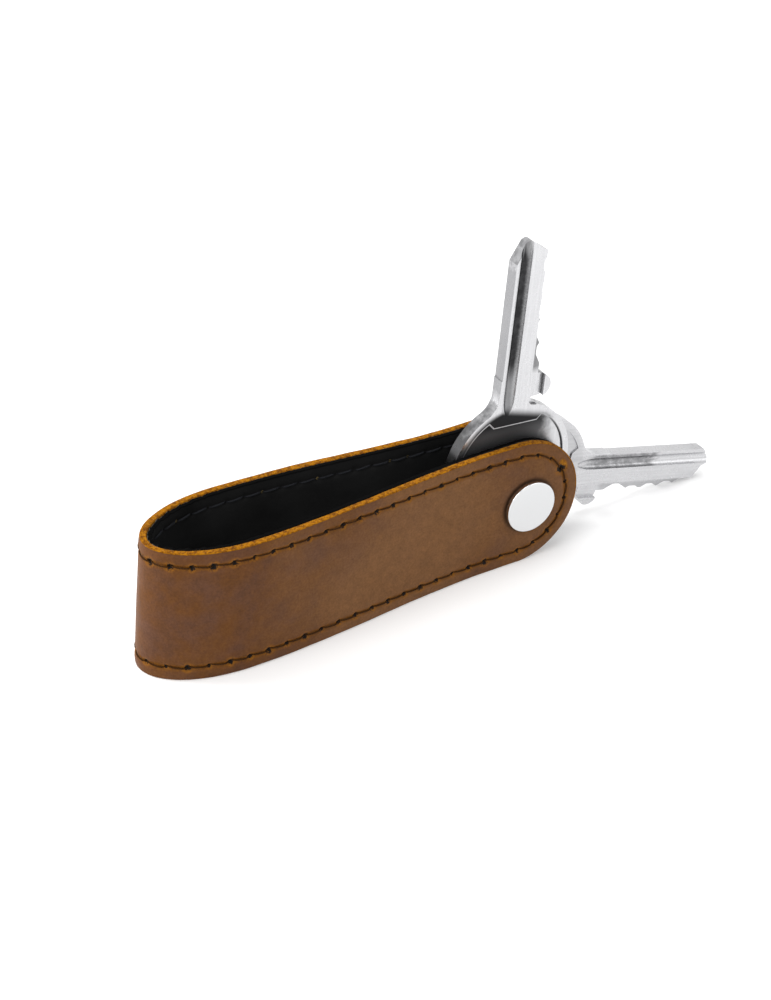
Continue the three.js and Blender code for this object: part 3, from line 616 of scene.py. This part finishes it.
def worn_nickel(name, metal, which, bow):
    """Nickel-plated brass of a key in daily use: bright faces with fine scratches along the blade, duller
    sheared edges, tarnish and painted reflection in the groove, painted reflection of the black lining on the
    bow, and painted shade at the sunk edges and between the straps. which is the key's prefix in the
    settings, and bow gives the bow's middle (reach and drop) and radius in millimetres."""
    material, add = new_material(name)
    look = {part: getattr(metal, which + "_" + part) for part, *_ in KEY_LOOKS}
    place = add("TexCoord", output="Object")
    reach, drop, sunk, side, recess = (
        add("Attribute", output="Fac", attribute_name=stored)
        for stored in ("reach", "drop", "sunk", "side", "recess"))
    blotch = add("TexNoise", (place, 1 / (1.2 * MM), 5, 0.65))
    grit = add("TexNoise", (place, 1 / (0.3 * MM), 2))
    line = add("CombineXYZ", (reach, drop, sunk))
    line = add("VectorMath MULTIPLY", (line, (0.12, 2.5, 2.5)))
    drawn = add("TexNoise", (line, 1, 3))

    # The spine is dull along the blade, bright at the tip and round the bow, and darkened by painted shade
    # between the straps
    tip = add("MapRange", (reach, 5.5, 4))
    round_bow = add("MapRange", (reach, 24.5, 27))
    rubbed = add("Math ADD", (tip, round_bow))
    stained = add("MapRange", (blotch, 0.62, 0.42))
    rubbed = add("Math MULTIPLY", (rubbed, stained))
    between_straps_shade = add("Math MULTIPLY_ADD", (blotch, 8, reach))
    between_straps_shade = add("MapRange", (between_straps_shade, 32, 36.5))
    edge = add("Mix RGBA", (rubbed, look["wall"], "#bcbcbe"))
    edge = add("Mix RGBA", (between_straps_shade, edge, look["cuts"]))

    # The cut flanks, and the milled ledge beside the first cuts, are coloured darker
    flank = add("MapRange SMOOTHSTEP", (drop, 4.5, 6))
    blade = add("MapRange", (reach, 23.4, 22.2))
    flank = add("Math MULTIPLY", (flank, blade))
    edge = add("Mix RGBA", (flank, edge, look["cuts"]))
    tint = add("Mix RGBA", (side, look["plate"], edge))
    ledge = add("MapRange", (sunk, 0.3, 0.6, 0, 0.8))
    low = add("MapRange", (drop, 5.6, 6.2))
    ledge = add("Math MULTIPLY", (ledge, low))
    ledge = add("Math MULTIPLY", (ledge, blade))
    tint = add("Mix RGBA", (ledge, tint, look["cuts"]))
    scratch = add("MapRange", (drawn, *NOISE, 0.93, 1.05))
    tint = add("VectorMath SCALE", (tint, scratch))

    # Tarnish and painted reflection in the groove are deepest under the spine, thin out towards the flat,
    # spill over the land in specks and end in streaks at the tip and the neck
    uneven = add("Math MULTIPLY_ADD", (blotch, 0.8, drop))
    uneven = add("Math MULTIPLY_ADD", (grit, 1.2, uneven))
    upper = add("MapRange SMOOTHSTEP", (uneven, 1.6, 2.15))
    ragged = add("Math MULTIPLY_ADD", (grit, 0.4, drop))
    lower = add("MapRange SMOOTHSTEP", (ragged, look["foot"][0] + 0.2, look["foot"][1] + 0.2))
    held = add("MapRange", (sunk, 0, 0.12))
    flat = add("Math SUBTRACT", (1, side))
    tarnish_and_reflection_share = add("Math MULTIPLY", (upper, lower))
    tarnish_and_reflection_share = add("Math MULTIPLY", (tarnish_and_reflection_share, held))
    start, end, most = look["land"]
    specks = add("MapRange", (ragged, start, end, 0, most))
    land = add("MapRange", (drop, 1.2, 0.8))
    specks = add("Math MULTIPLY", (specks, land))
    tarnish_and_reflection_share = add("Math MAXIMUM", (tarnish_and_reflection_share, specks))
    tarnish_and_reflection_share = add("Math MULTIPLY", (tarnish_and_reflection_share, flat))
    streaks = add("Math SUBTRACT", (drawn, 0.5))
    streaks = add("Math MULTIPLY_ADD", (streaks, 6, reach))
    for start, end, least in (look["tip"], look["neck"]):
        share = add("MapRange SMOOTHSTEP", (streaks, start, end, least, 1))
        tarnish_and_reflection_share = add("Math MULTIPLY", (tarnish_and_reflection_share, share))
    patchy = add("MapRange", (blotch, 0.36, 0.6, 1.3, 0.75))
    tarnish = add("VectorMath SCALE", (colour(look["tarnish"])[:3], patchy))
    tint = add("Mix RGBA", (tarnish_and_reflection_share, tint, tarnish))

    # Painted reflection of the black lining darkens the bow round its sunk panel, up to a soft line inside
    # its rim, and is greyer towards its middle
    middle, level, radius = bow
    across = add("Math SUBTRACT", (drop, level))
    ahead = add("Math SUBTRACT", (middle, reach))
    spot = add("CombineXYZ", (ahead, across))
    disc = add("VectorMath LENGTH", (spot,))
    smudge = add("MapRange SMOOTHSTEP", (disc, radius, radius - 1.1))
    shore = add("Math MULTIPLY_ADD", (drop, -0.25, reach))
    shore = add("MapRange SMOOTHSTEP", (shore, 27.6, 29.4))
    smudge = add("Math MULTIPLY", (smudge, shore))
    ragged = add("Math MULTIPLY_ADD", (blotch, 3, drop))
    fading = add("MapRange SMOOTHSTEP", (ragged, 13.4, 9.8, 0, look["smudge"]))
    smudge = add("Math MULTIPLY", (smudge, fading))
    dark = add("Math MULTIPLY", (smudge, flat))
    thin = add("MapRange", (reach, 31.5, 37))
    reflection_tone = add("Mix RGBA", (thin, "#29292a", "#8c8c8e"))
    tint = add("Mix RGBA", (dark, tint, reflection_tone))
    # Painted shade darkens the low walls of the sunk parts, outside the painted reflection
    clear_of_reflection = add("Math SUBTRACT", (1, smudge))
    crevice = add("Math MULTIPLY", (recess, clear_of_reflection))
    deep = add("MapRange", (sunk, 0.15, 0.6))
    crevice = add("Math MULTIPLY", (crevice, deep))
    # Painted shade at the sunk edges is lighter on the groove's lower wall, which faces the light
    foot = add("Math COMPARE", (drop, 3.3, 1))
    behind = add("MapRange", (reach, 28, 28.5, 1, 0))
    foot = add("Math MULTIPLY", (foot, behind))
    unlit = add("Math MULTIPLY_ADD", (foot, -0.7, 1))
    crevice = add("Math MULTIPLY", (crevice, unlit))
    tint = add("Mix RGBA", (crevice, tint, look["crevice"]))

    # The panel's edge breaks the painted reflection with a line of the plate's colour, and elsewhere is a
    # line of
    # painted shade: the panel is a disc with a flat side, stepped at its corners
    radius -= metal.bow_rim / MM
    step = metal.panel_step / MM
    chord = radius - metal.panel_flat / MM
    corner = math.sqrt(radius ** 2 - (chord + step) ** 2) - step
    disc = add("Math SUBTRACT", (disc, radius))
    across = add("Math ABSOLUTE", (across,))
    side_line = add("MapRange", (across, corner, corner + step, chord, chord + step))
    straight = add("Math SUBTRACT", (ahead, side_line))
    brink = add("Math MAXIMUM", (disc, straight))
    brink = add("Math ABSOLUTE", (brink,))
    brink = add("MapRange", (brink, 0.2, 0.08, 0, 0.85))
    brink = add("Math MULTIPLY", (brink, flat))
    stroke = add("Mix RGBA", (smudge, look["crevice"], look["plate"]))
    tint = add("Mix RGBA", (brink, tint, stroke))

    rough = add("MapRange", (blotch, *NOISE, 0.22, 0.36))
    rough = add("Mix", (dark, rough, 0.5))
    scuffs = add("Bump", {"Height": grit, "Strength": 0.06, "Distance": 0.05 * MM})
    return shaded(material, add("BsdfPrincipled", {
        "Base Color": tint, "Metallic": 1.0, "Roughness": rough, "Normal": scuffs}))


def washer_nylon(metal):
    """Stamped black nylon: a dull, even plastic with a faint moulded grain."""
    material, add = new_material("black nylon")
    place = add("TexCoord", output="Object")
    grain = add("TexNoise", (place, 1 / (0.4 * MM), 2))
    bump = add("Bump", {"Height": grain, "Strength": 0.15, "Distance": 0.05 * MM})
    rough = add("MapRange", (grain, *NOISE, 0.5, 0.65))
    return shaded(material, add("BsdfPrincipled", {
        "Base Color": metal.nylon, "Roughness": rough, "IOR": 1.53, "Normal": bump}))


class ORGANISER_OT_leather_strap(bpy.types.Operator):
    """Makes the outer leather strap, with its drawn seam and raw cut edges"""

    bl_idname = "organiser.leather_strap"
    bl_label = "Leather strap"

    def execute(self, context):
        strap = context.scene.organiser_strap
        draw = np.random.default_rng(11)
        phase = draw.uniform(0, math.tau, 6)
        beat = draw.uniform(0.6, 4.5, 6)

        def relief(stitch, inset, s, w, face):
            """On the outer face: slow waves and a bell-shaped lip by the cut edge, less an exponential fall
            to that edge, a bell-shaped dent round the post head's rim and the seam's hollow."""
            front = np.clip(face, 0, 1)
            waves = strap.waviness * slow_waves(s, w, 3) * clear_of_post(strap, s, w)
            lip = 0.05 * MM * np.exp(-((inset - 1.2 * MM) / (0.7 * MM)) ** 2)
            roll = strap.edge_roll * np.exp(-inset / (0.8 * MM))
            from_rim = from_post(strap, s, w) - HEAD_RADIUS - 0.3 * MM
            press = 0.14 * MM * np.exp(-(from_rim / (0.6 * MM)) ** 2)
            return front * (waves + lip - roll - press - seam_hollow(strap, stitch, inset))

        def ragged(stitch):
            """The cut edge moves in by the mean of six sine waves round the strip."""
            waves = np.sin(stitch[:, None] * beat + phase).sum(-1) / 6
            return 0.05 * MM * (1 + waves)

        half = LEATHER / 2
        piece = strip(strap, "leather_strap", (half, strap.skive - half), 0, strap.edge_round, relief, ragged)
        dress(piece, pull_up_leather(strap), "strap", "outer_leather", "outer_strap")
        return {"FINISHED"}


class ORGANISER_OT_lining(bpy.types.Operator):
    """Makes the black lining inside the leather"""

    bl_idname = "organiser.lining"
    bl_label = "Lining"

    def execute(self, context):
        strap = context.scene.organiser_strap

        def relief(stitch, inset, s, w, face):
            """On the inner face: slow waves and a part of the seam's hollow. On both faces: creases across
            the fold, a sine wave along the strip in a bell-shaped envelope."""
            back = np.clip(-face, 0, 1)
            waves = 0.05 * MM * (slow_waves(s, w, 5) - 1) * clear_of_post(strap, s, w)
            envelope = 0.1 * MM * np.exp(-(s / (7 * MM)) ** 2)
            creases = envelope * (1 + np.sin(math.tau * s / (1.9 * MM) + 40 * w)) / 2
            return back * (waves + 0.7 * seam_hollow(strap, stitch, inset)) - creases

        def ragged(stitch):
            """The trimmed edge moves in by the product of two waves, larger near the fold, and the upper edge
            moves out to its own level."""
            near_fold = np.exp(-(((stitch - strap.straight_stitches / 2) / 5) ** 2))
            far_side = strap.straight_stitches * 1.5 + strap.end_stitches
            near_fold = near_fold + np.exp(-(((stitch - far_side) / 5) ** 2))
            waves = (0.08 + 0.45 * near_fold) * MM * (1 + np.sin(stitch * 11.3) * np.cos(stitch * 4.1)) / 2
            upper = np.clip(np.sin(course(strap, stitch)[1]), 0, 1)
            return waves - (LINING_SETBACK + strap.lining_level) * upper

        back = strap.skive - LEATHER / 2 - CEMENT_GAP
        faces = (back, back - strap.lining_thickness - strap.skive)
        piece = strip(strap, "lining", faces, LINING_SETBACK, 0.1 * MM, relief, ragged)
        dress(piece, coated_lining(strap), "strap", "black_lining", "lining_strap")
        return {"FINISHED"}


def stitches(strap, name, thick, face, side, seed):
    """A tube of radius thick for each stitch, from one needle hole to the next: flat along its middle, diving
    into the holes at its ends by the fourth power of the distance from its middle, and a little aslant."""
    count = 2 * (strap.straight_stitches + strap.end_stitches)
    draw = np.random.default_rng(seed)
    slant = draw.normal(0.3, 0.08, count) * MM
    tight = draw.uniform(0.8, 1.15, count)
    run = np.concatenate([[0.02], np.linspace(0.04, 0.96, 7), [0.98]])
    swell = np.array([0, 0.7, 0.95, 1, 1, 1, 0.95, 0.7, 0])
    turn = np.linspace(0, math.tau, 7)
    stitch = np.arange(count)[:, None] + run
    inset = strap.seam_inset + slant[:, None] * (run - 0.5)
    dive = np.abs(2 * run - 1) ** 4
    sunk = 0.62 * strap.groove_depth
    depth = thick * 0.75 - sunk - (0.55 * MM * dive) * tight[:, None]
    middle, angle = course(strap, stitch)
    radius = STRAP_WIDTH / 2 - inset
    s = middle + radius * np.cos(angle)
    w = STRAP_WIDTH / 2 + radius * np.sin(angle)
    centre, normal = bend(strap, s, w, face + side * depth)
    normal = normal * side
    along = np.gradient(centre, axis=1)
    along /= np.linalg.norm(along, axis=-1, keepdims=True)
    across = np.cross(along, normal)
    across /= np.linalg.norm(across, axis=-1, keepdims=True)
    up = np.cross(across, along)
    swell = (thick * swell)[None, :, None, None]
    ring = across[:, :, None] * np.cos(turn)[:, None] + up[:, :, None] * np.sin(turn)[:, None]
    points = (centre[:, :, None] + swell * ring).reshape(-1, len(turn), 3)
    uv = np.stack(np.broadcast_arrays(
        (stitch * stitch_pitch(strap) / MM).reshape(-1, 1), turn * thick / MM), -1)
    kept = np.ones((len(points) - 1, len(turn) - 1), bool)
    kept[len(run) - 1::len(run)] = False
    return surface(name, points, uv, kept)


class ORGANISER_OT_seam(bpy.types.Operator):
    """Makes the seam's stitches, brown on the leather and black on the lining"""

    bl_idname = "organiser.seam"
    bl_label = "Seam stitches"

    def execute(self, context):
        strap = context.scene.organiser_strap
        lining_face = -LEATHER / 2 - CEMENT_GAP - strap.lining_thickness
        brown = waxed_thread("waxed brown thread", strap.brown_thread)
        black = waxed_thread("waxed black thread", strap.black_thread)
        outer = stitches(strap, "needle_stitches", strap.thread_radius, LEATHER / 2, 1, 21)
        inner = stitches(strap, "bobbin_stitches", strap.bobbin_radius, lining_face, -1, 22)
        dress(outer, brown, "strap", "brown_thread", "needle_thread")
        dress(inner, black, "strap", "black_thread", "bobbin_thread")
        return {"FINISHED"}


def lathe(name, profile, segments=96):
    """A turned piece: a closed profile of (radius, distance along Y) turned once about the post's axis."""
    turn = np.linspace(0, math.tau, segments + 1)
    radius = profile[:, :1]
    points = np.stack(np.broadcast_arrays(
        POST_X + radius * np.cos(turn), profile[:, 1:], POST_Z + radius * np.sin(turn)), -1)
    return surface(name, points)


def fillet(centre, radius, start, end, steps=8):
    """Points of an arc in a profile, from its start angle to its end angle."""
    turn = np.linspace(start, end, steps)
    return np.stack([centre[0] + radius * np.cos(turn), centre[1] + radius * np.sin(turn)], -1)


def worn_copy(node_name, name, width):
    """A merged copy of a rigid node with its flat faces made whole and its edges broken by a small bevel."""
    mesh = frame["nodes"][node_name].data.copy()
    mesh.name = name
    close_mesh(mesh, 0.005 * MM, flatten=True)
    mesh.set_sharp_from_angle(angle=CUT_EDGE)
    made = link_object(name, mesh)
    bevel = made.modifiers.new("edge break", "BEVEL")
    bevel.width = width
    bevel.segments = 2
    bevel.limit_method = "ANGLE"
    bevel.angle_limit = CUT_EDGE
    bevel.harden_normals = True
    bevel.use_clamp_overlap = True
    return made


def read(items, name, width, kind=np.float32):
    """One property of a mesh's points, edges, corners or faces, as an array of that width."""
    values = np.zeros(len(items) * width, kind)
    items.foreach_get(name, values)
    return values.reshape(-1, width)


def measure_key(mesh):
    """Stores where each part of a key lies, in millimetres, for its finish. On points: reach back from the
    tip along the blade, drop below the spine, and sunk below the broad faces. On faces: side is 1 where a
    face stands across the key's thickness, and recess is 1 where it is only the low wall of a sunk part.
    Gives the bow's middle (reach and drop) and radius: the bow is the key's widest part and its far end."""
    place = read(mesh.vertices, "co", 3) / MM
    spans = np.diff(place[read(mesh.edges, "vertices", 2, np.int32)], axis=1)[:, 0]
    blade = spans[np.argmax(np.linalg.norm(spans, axis=1))]
    blade /= np.linalg.norm(blade)
    post = np.array([POST_X, 0, POST_Z]) / MM
    along = (place - post) @ blade
    if -along.min() > along.max():
        along, blade = -along, -blade
    up = (place - post) @ np.array([-blade[2], 0, blade[0]])
    spine = up[along > along.max() - 15].max()
    y = place[:, 1]
    sunk = np.minimum(y - y.min(), y.max() - y)
    side = np.abs(read(mesh.polygons, "normal", 3)[:, 1]) < 0.3
    corners = y[read(mesh.loops, "vertex_index", 1, np.int32)[:, 0]]
    starts = read(mesh.polygons, "loop_start", 1, np.int32)[:, 0]
    height = np.maximum.reduceat(corners, starts) - np.minimum.reduceat(corners, starts)
    recess = side & (height < 1.0)
    stored = (("reach", "POINT", along.max() - along), ("drop", "POINT", spine - up), ("sunk", "POINT", sunk),
              ("side", "FACE", side), ("recess", "FACE", recess))
    for name, domain, values in stored:
        layer = mesh.attributes.new(name, "FLOAT", domain)
        layer.data.foreach_set("value", values.astype(np.float32))
    radius = float(np.ptp(up)) / 2
    return float(np.ptp(along)) - radius, float(spine - up.max()) + radius, radius


class ORGANISER_OT_screw_post(bpy.types.Operator):
    """Makes the polished screw post: the plain-headed barrel and the slotted screw"""

    bl_idname = "organiser.screw_post"
    bl_label = "Screw post"

    def execute(self, context):
        metal = context.scene.organiser_metal
        bright = polished_nickel(metal)
        front = BARREL_LOW.y
        seat = front + context.scene.organiser_strap.head_thickness - 0.05 * MM
        end = BARREL_HIGH.y
        rim = metal.rim_round
        barrel, bore, bottom = 2.5 * MM, 1.98 * MM, -1.86 * MM
        sweep = np.linspace(0, HEAD_RADIUS - rim, 12)
        crown = np.stack([sweep, front + metal.crown * (sweep / HEAD_RADIUS) ** 2], -1)
        low = crown[-1, 1]
        edge = fillet((HEAD_RADIUS - rim, low + rim), rim, -math.pi / 2, 0)
        profile = np.concatenate([crown, edge[1:], [
            (HEAD_RADIUS, seat), (barrel, seat), (barrel, end), (bore, end), (bore, bottom), (0, bottom)]])
        piece = lathe("post_head", profile)
        piece.data.set_sharp_from_angle(angle=TURNED_EDGE)
        dress(piece, bright, "strap", "post_nickel", "post_barrel")
        screw = worn_copy("post_screw", "slotted_screw", metal.edge_break)
        dress(screw, bright, "strap", "post_nickel", "post_screw")
        return {"FINISHED"}


class ORGANISER_OT_washers(bpy.types.Operator):
    """Makes the three nylon washers between the keys and the strap"""

    bl_idname = "organiser.washers"
    bl_label = "Washers"

    def execute(self, context):
        dull = washer_nylon(context.scene.organiser_metal)
        for node_name in ("washer_front", "washer_middle", "washer_back"):
            low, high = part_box(node_name)
            bore = context.scene.organiser_strap.hole_radius
            rim = 0.15 * MM
            flat = high.x - POST_X - rim
            profile = np.concatenate([
                [(bore, low.y)], fillet((flat, low.y + rim), rim, -math.pi / 2, 0),
                fillet((flat, high.y - rim), rim, 0, math.pi / 2), [(bore, high.y), (bore, low.y)]])
            piece = lathe("nylon_" + node_name, profile)
            piece.data.set_sharp_from_angle(angle=TURNED_EDGE)
            dress(piece, dull, "strap", "washer_nylon", node_name)
        return {"FINISHED"}


class ORGANISER_OT_keys(bpy.types.Operator):
    """Makes the two worn keys"""

    bl_idname = "organiser.keys"
    bl_label = "Keys"

    def execute(self, context):
        metal = context.scene.organiser_metal
        keys = (("upright", "tarnished"), ("lower", "dull"))
        for which, finish in keys:
            node_name = "key_" + which
            piece = worn_copy(node_name, "worn_" + node_name, metal.edge_break)
            plate = worn_nickel("worn nickel plate, " + finish, metal, which, measure_key(piece.data))
            dress(piece, plate, which + "_key", "key_nickel", node_name)
        return {"FINISHED"}


def white_floor(stage):
    """A wide flat floor. Camera, glossy and transmission rays see it lifted to white, shadows kept."""
    reach = np.linspace(-0.6, 0.6, 3)
    points = np.stack(np.broadcast_arrays(reach[None, :], reach[:, None], np.full((3, 3), -0.02 * MM)), -1)
    floor = surface("floor", points)
    material, add = new_material("white paper sweep")
    plain = add("BsdfDiffuse", (stage.floor,))
    place = add("TexCoord", output="Object")
    away = add("VectorMath DISTANCE", (place, (POST_X / 2, 0, 0)))
    lift = add("MapRange", (away, 0.1, 0.5, 0.25, 0.7))
    glow = add("Emission", (WHITE, lift))
    lifted = add("AddShader", (plain, glow))
    shader = add("MixShader", (seen_rays(add), plain, lifted))
    floor.data.materials.append(shaded(material, shader))


def seen_rays(add):
    """Socket that is 1 for camera, glossy and transmission rays."""
    path = add("LightPath").node.outputs
    direct = add("Math MAXIMUM", (path["Is Camera Ray"], path["Is Glossy Ray"]))
    return add("Math MAXIMUM", (direct, path["Is Transmission Ray"]))


def studio_world(scene):
    """White to the camera and in reflections, and a soft grey fill for the light."""
    scene.world = bpy.data.worlds.new("studio")
    add = empty_tree(scene.world)
    fill = add("Background", (WHITE, 0.4))
    white = add("Background", (WHITE, 1))
    shader = add("MixShader", (seen_rays(add), fill, white))
    add("OutputWorld", (shader,))


def softbox(name, place, size, power):
    """A square softbox that faces the strap's middle. Gives its object."""
    data = bpy.data.lights.new(name, "AREA")
    data.size = size
    data.energy = power
    made = link_object(name, data)
    made.location = place
    aim = Vector((POST_X / 2, 0, STRAP_WIDTH / 2)) - made.location
    made.rotation_euler = aim.to_track_quat("-Z", "Y").to_euler()
    return made


def photo_camera(scene, stage):
    """The photograph's view: a place, a direction and a small roll about it."""
    az, el = stage.camera_azimuth, stage.camera_elevation
    ahead = Vector((math.sin(az) * math.cos(el), math.cos(az) * math.cos(el), -math.sin(el)))
    level = Vector((math.cos(az), -math.sin(az), 0))
    above = level.cross(ahead)
    roll = stage.camera_roll
    right = math.cos(roll) * level + math.sin(roll) * above
    up = math.cos(roll) * above - math.sin(roll) * level
    data = bpy.data.cameras.new("camera")
    data.lens = stage.camera_lens
    data.sensor_width = 36
    data.clip_start = 0.01
    made = link_object("camera", data)
    turn = Matrix((right, up, -ahead)).transposed().to_4x4()
    made.matrix_world = Matrix.Translation(stage.camera_place) @ turn
    scene.camera = made


class ORGANISER_OT_stage(bpy.types.Operator):
    """Sets the white floor, soft lights and camera"""

    bl_idname = "organiser.stage"
    bl_label = "Stage"

    def execute(self, context):
        scene = context.scene
        stage = scene.organiser_stage
        scene.view_settings.view_transform = "Standard"
        white_floor(stage)
        studio_world(scene)
        softbox("left softbox", (-0.65, -0.2, 0.6), 0.6, 4.4)
        softbox("rim softbox", (-0.45, 0.5, 0.35), 0.4, 5.2).visible_glossy = False
        softbox("right softbox", (0.6, -0.5, 0.5), 0.5, 1.2)
        softbox("top softbox", (0.05, 0.1, 0.8), 0.45, 2.6)
        photo_camera(scene, stage)
        return {"FINISHED"}


class ORGANISER_PT_pieces(bpy.types.Panel):
    """Lists the organiser's pieces"""

    bl_idname = "ORGANISER_PT_pieces"
    bl_label = "Leather key organiser"
    bl_space_type = "VIEW_3D"
    bl_region_type = "UI"
    bl_category = "Organiser"

    def draw(self, context):
        for operator in OPERATORS:
            self.layout.operator(operator.bl_idname)


OPERATORS = (
    ORGANISER_OT_leather_strap,
    ORGANISER_OT_lining,
    ORGANISER_OT_seam,
    ORGANISER_OT_screw_post,
    ORGANISER_OT_washers,
    ORGANISER_OT_keys,
    ORGANISER_OT_stage,
)
SETTINGS = {
    "organiser_strap": StrapSettings,
    "organiser_metal": MetalSettings,
    "organiser_stage": StageSettings,
}
CLASSES = (*SETTINGS.values(), *OPERATORS, ORGANISER_PT_pieces)


def register():
    for made in CLASSES:
        bpy.utils.register_class(made)
    for name, group in SETTINGS.items():
        setattr(bpy.types.Scene, name, bpy.props.PointerProperty(type=group))


def unregister():
    for name in SETTINGS:
        delattr(bpy.types.Scene, name)
    for made in reversed(CLASSES):
        bpy.utils.unregister_class(made)


def main():
    """Registers the add-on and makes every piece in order."""
    register()
    bpy.ops.organiser.leather_strap()
    bpy.ops.organiser.lining()
    bpy.ops.organiser.seam()
    bpy.ops.organiser.screw_post()
    bpy.ops.organiser.washers()
    bpy.ops.organiser.keys()
    bpy.ops.organiser.stage()


if __name__ == "__main__":
    main()
